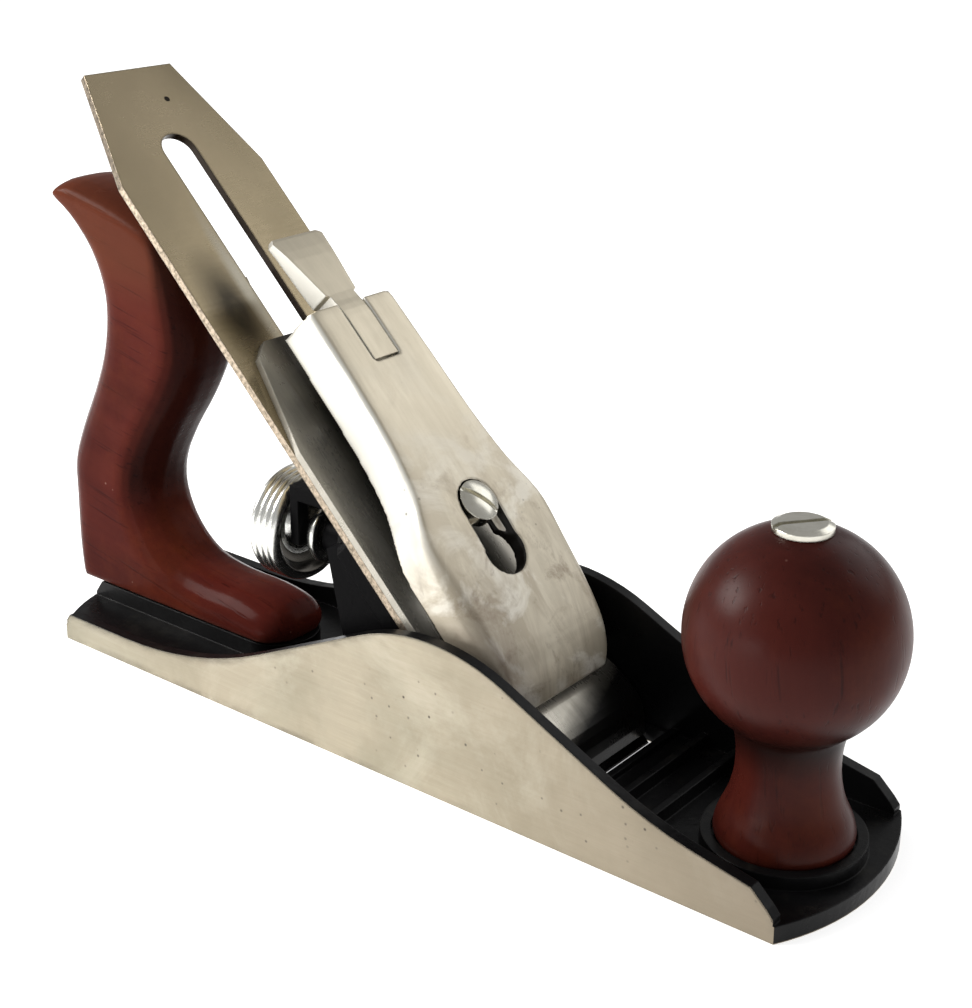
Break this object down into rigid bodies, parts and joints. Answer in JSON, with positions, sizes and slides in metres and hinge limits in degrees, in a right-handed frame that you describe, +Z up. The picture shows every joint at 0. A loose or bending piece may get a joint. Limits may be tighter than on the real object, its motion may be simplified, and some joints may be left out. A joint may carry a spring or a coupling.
{
  "type": "bench plane",
  "caption": "Cast-iron smoothing plane with wooden tote and knob, iron and cap iron on a frog, depth wheel with yoke, lateral lever, and lever cap with cam.",
  "frame": {"origin": "middle of the sole between its corners, on the face that slides on the wood", "axes": "+X towards the toe, +Y to the left of a user who faces the toe, +Z up"},
  "size_m": [0.2722, 0.061, 0.1648],
  "materials": {
    "body_iron": "ground bare on the sole and the outer faces of the cheeks, black japanning inside",
    "frog_iron": "black japanning, bed face ground",
    "handle_wood": "red-brown stained and varnished",
    "rod_steel": "plain turned steel",
    "nickel": "nickel plated",
    "dark_steel": "darkened steel",
    "lever_steel": "dulled plated steel",
    "iron_steel": "polished tool steel with a brown tarnish",
    "cap_steel": "polished steel",
    "plated_cap": "satin nickel plate with stains and small pits",
    "spring_steel": "spring steel"
  },
  "bodies": {
    "casting": {"body_casting": "body_iron", "knob": "handle_wood", "knob_rod": "rod_steel", "knob_nut": "nickel", "tote": "handle_wood", "tote_rod": "rod_steel", "tote_nut": "nickel", "frog_screws": "dark_steel", "frog_washers": "dark_steel"},
    "frog_set": {"frog": "frog_iron", "depth_stud": "rod_steel", "yoke_pin": "rod_steel", "lateral_rivet": "lever_steel", "lever_cap_screw": "nickel"},
    "wheel": {"depth_wheel": "nickel"},
    "yoke": {"yoke": "frog_iron"},
    "lateral": {"lateral_lever": "lever_steel", "roller_rivet": "lever_steel"},
    "roller": {"lateral_roller": "lever_steel"},
    "cap_iron_set": {"cap_iron": "cap_steel", "cap_iron_screw": "dark_steel"},
    "iron": {"plane_iron": "iron_steel"},
    "lever_cap_set": {"lever_cap": "plated_cap", "cap_spring": "spring_steel", "spring_rivet": "lever_steel", "cam_pin": "rod_steel"},
    "cam": {"cam_lever": "plated_cap"}
  },
  "joints": [
    {"name": "frog_slide", "type": "slide", "parent": "casting", "child": "frog_set", "axis": [1, 0, 0], "range_m": [-0.001, 0.001]},
    {"name": "wheel_spin", "type": "hinge", "parent": "frog_set", "child": "wheel", "pos_m": [-0.053, 0, 0.0455], "axis": [1, 0, 0], "range_deg": [-360, 360]},
    {"name": "yoke_rock", "type": "hinge", "parent": "frog_set", "child": "yoke", "pos_m": [-0.02404, 0, 0.0594], "axis": [0, 1, 0], "range_deg": [-4.2, 4.2]},
    {"name": "iron_slide", "type": "slide", "parent": "frog_set", "child": "cap_iron_set", "axis": [0.7071, 0, -0.7071], "range_m": [-0.00078, 0.00078]},
    {"name": "lateral_swing", "type": "hinge", "parent": "frog_set", "child": "lateral", "pos_m": [-0.03358, 0, 0.07813], "axis": [0.7071, 0, 0.7071], "range_deg": [-5, 5]},
    {"name": "iron_skew", "type": "hinge", "parent": "cap_iron_set", "child": "iron", "pos_m": [0.03394, 0, 0.01556], "axis": [0.7071, 0, 0.7071], "range_deg": [-0.85, 0.85]},
    {"name": "roller_spin", "type": "hinge", "parent": "lateral", "child": "roller", "pos_m": [-0.02284, 0, 0.0705], "axis": [0.7071, 0, 0.7071], "continuous": true},
    {"name": "lever_cap_slide", "type": "slide", "parent": "frog_set", "child": "lever_cap_set", "axis": [-0.7071, 0, 0.7071], "range_m": [0, 0.014]},
    {"name": "cam_open", "type": "hinge", "parent": "lever_cap_set", "child": "cam", "pos_m": [-0.03111, 0, 0.10253], "axis": [0, 1, 0], "range_deg": [0, 90]}
  ],
  "couplings": [
    {"joint": "wheel_spin", "follows": "iron_slide", "rad_per_m": 8084},
    {"joint": "yoke_rock", "follows": "iron_slide", "rad_per_m": 92.587},
    {"joint": "iron_skew", "follows": "lateral_swing", "ratio": -0.16456}
  ]
}
